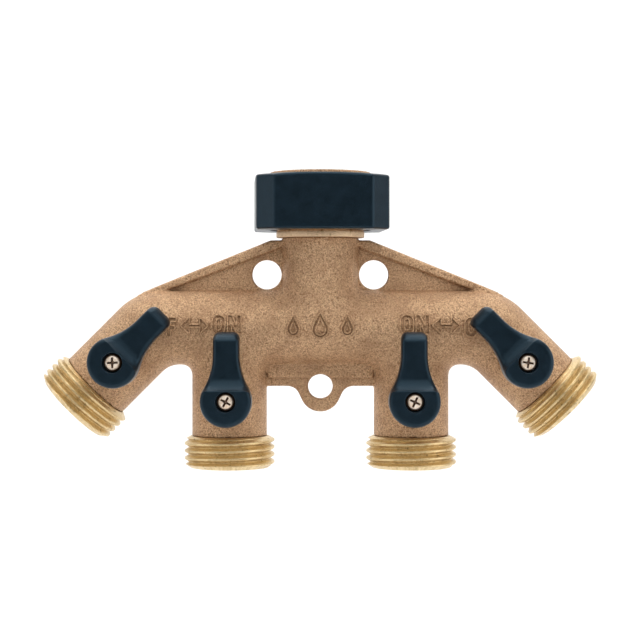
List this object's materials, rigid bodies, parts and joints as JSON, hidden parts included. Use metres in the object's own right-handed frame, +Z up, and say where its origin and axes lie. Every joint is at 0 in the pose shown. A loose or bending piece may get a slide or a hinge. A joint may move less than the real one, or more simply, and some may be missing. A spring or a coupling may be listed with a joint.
{
  "type": "hose splitter",
  "caption": "Cast brass garden hose manifold with a swivel tap inlet, male hose outlets and a quarter-turn lever valve on each outlet.",
  "frame": {"origin": "on the inlet axis, on the upper face of the hose washer, where the tap's spout seals", "axes": "+Z up along the inlet towards the tap, +X to the right across the outlets, -Y to the front, where the levers are"},
  "size_m": [0.166, 0.044, 0.0889],
  "materials": {
    "cast_brass": "sand-blasted casting",
    "turned_brass": "turned",
    "bright_brass": "bright turned thread",
    "navy_plastic": "fine moulded grain",
    "rubber": "smooth",
    "white_plastic": "smooth",
    "plated_ball": "polished",
    "plated_screw": "yellow zinc"
  },
  "bodies": {
    "manifold": {"manifold_body": "cast_brass", "inlet_tailpiece": "turned_brass", "tailpiece_seal": "rubber", "outer_left_outlet": "bright_brass", "outer_left_outlet_seal": "rubber", "outer_left_inner_seat": "white_plastic", "outer_left_outer_seat": "white_plastic", "inner_left_outlet": "bright_brass", "inner_left_outlet_seal": "rubber", "inner_left_inner_seat": "white_plastic", "inner_left_outer_seat": "white_plastic", "inner_right_outlet": "bright_brass", "inner_right_outlet_seal": "rubber", "inner_right_inner_seat": "white_plastic", "inner_right_outer_seat": "white_plastic", "outer_right_outlet": "bright_brass", "outer_right_outlet_seal": "rubber", "outer_right_inner_seat": "white_plastic", "outer_right_outer_seat": "white_plastic"},
    "swivel_nut": {"swivel_insert": "turned_brass", "swivel_grip": "navy_plastic", "hose_washer": "rubber"},
    "outer_left_valve": {"outer_left_ball": "plated_ball", "outer_left_stem": "turned_brass", "outer_left_stem_seals": "rubber", "outer_left_thrust_washer": "white_plastic", "outer_left_lever": "navy_plastic", "outer_left_screw": "plated_screw"},
    "inner_left_valve": {"inner_left_ball": "plated_ball", "inner_left_stem": "turned_brass", "inner_left_stem_seals": "rubber", "inner_left_thrust_washer": "white_plastic", "inner_left_lever": "navy_plastic", "inner_left_screw": "plated_screw"},
    "inner_right_valve": {"inner_right_ball": "plated_ball", "inner_right_stem": "turned_brass", "inner_right_stem_seals": "rubber", "inner_right_thrust_washer": "white_plastic", "inner_right_lever": "navy_plastic", "inner_right_screw": "plated_screw"},
    "outer_right_valve": {"outer_right_ball": "plated_ball", "outer_right_stem": "turned_brass", "outer_right_stem_seals": "rubber", "outer_right_thrust_washer": "white_plastic", "outer_right_lever": "navy_plastic", "outer_right_screw": "plated_screw"}
  },
  "joints": [
    {"name": "swivel_spin", "type": "hinge", "parent": "manifold", "child": "swivel_nut", "pos_m": [0, 0, 0], "axis": [0, 0, 1], "continuous": true},
    {"name": "outer_left_turn", "type": "hinge", "parent": "manifold", "child": "outer_left_valve", "pos_m": [-0.0601, 0, -0.0476], "axis": [0, -1, 0], "range_deg": [0, 90]},
    {"name": "inner_left_turn", "type": "hinge", "parent": "manifold", "child": "inner_left_valve", "pos_m": [-0.0274, 0, -0.059], "axis": [0, -1, 0], "range_deg": [0, 90]},
    {"name": "inner_right_turn", "type": "hinge", "parent": "manifold", "child": "inner_right_valve", "pos_m": [0.0274, 0, -0.059], "axis": [0, -1, 0], "range_deg": [-90, 0]},
    {"name": "outer_right_turn", "type": "hinge", "parent": "manifold", "child": "outer_right_valve", "pos_m": [0.0601, 0, -0.0476], "axis": [0, -1, 0], "range_deg": [-90, 0]}
  ]
}
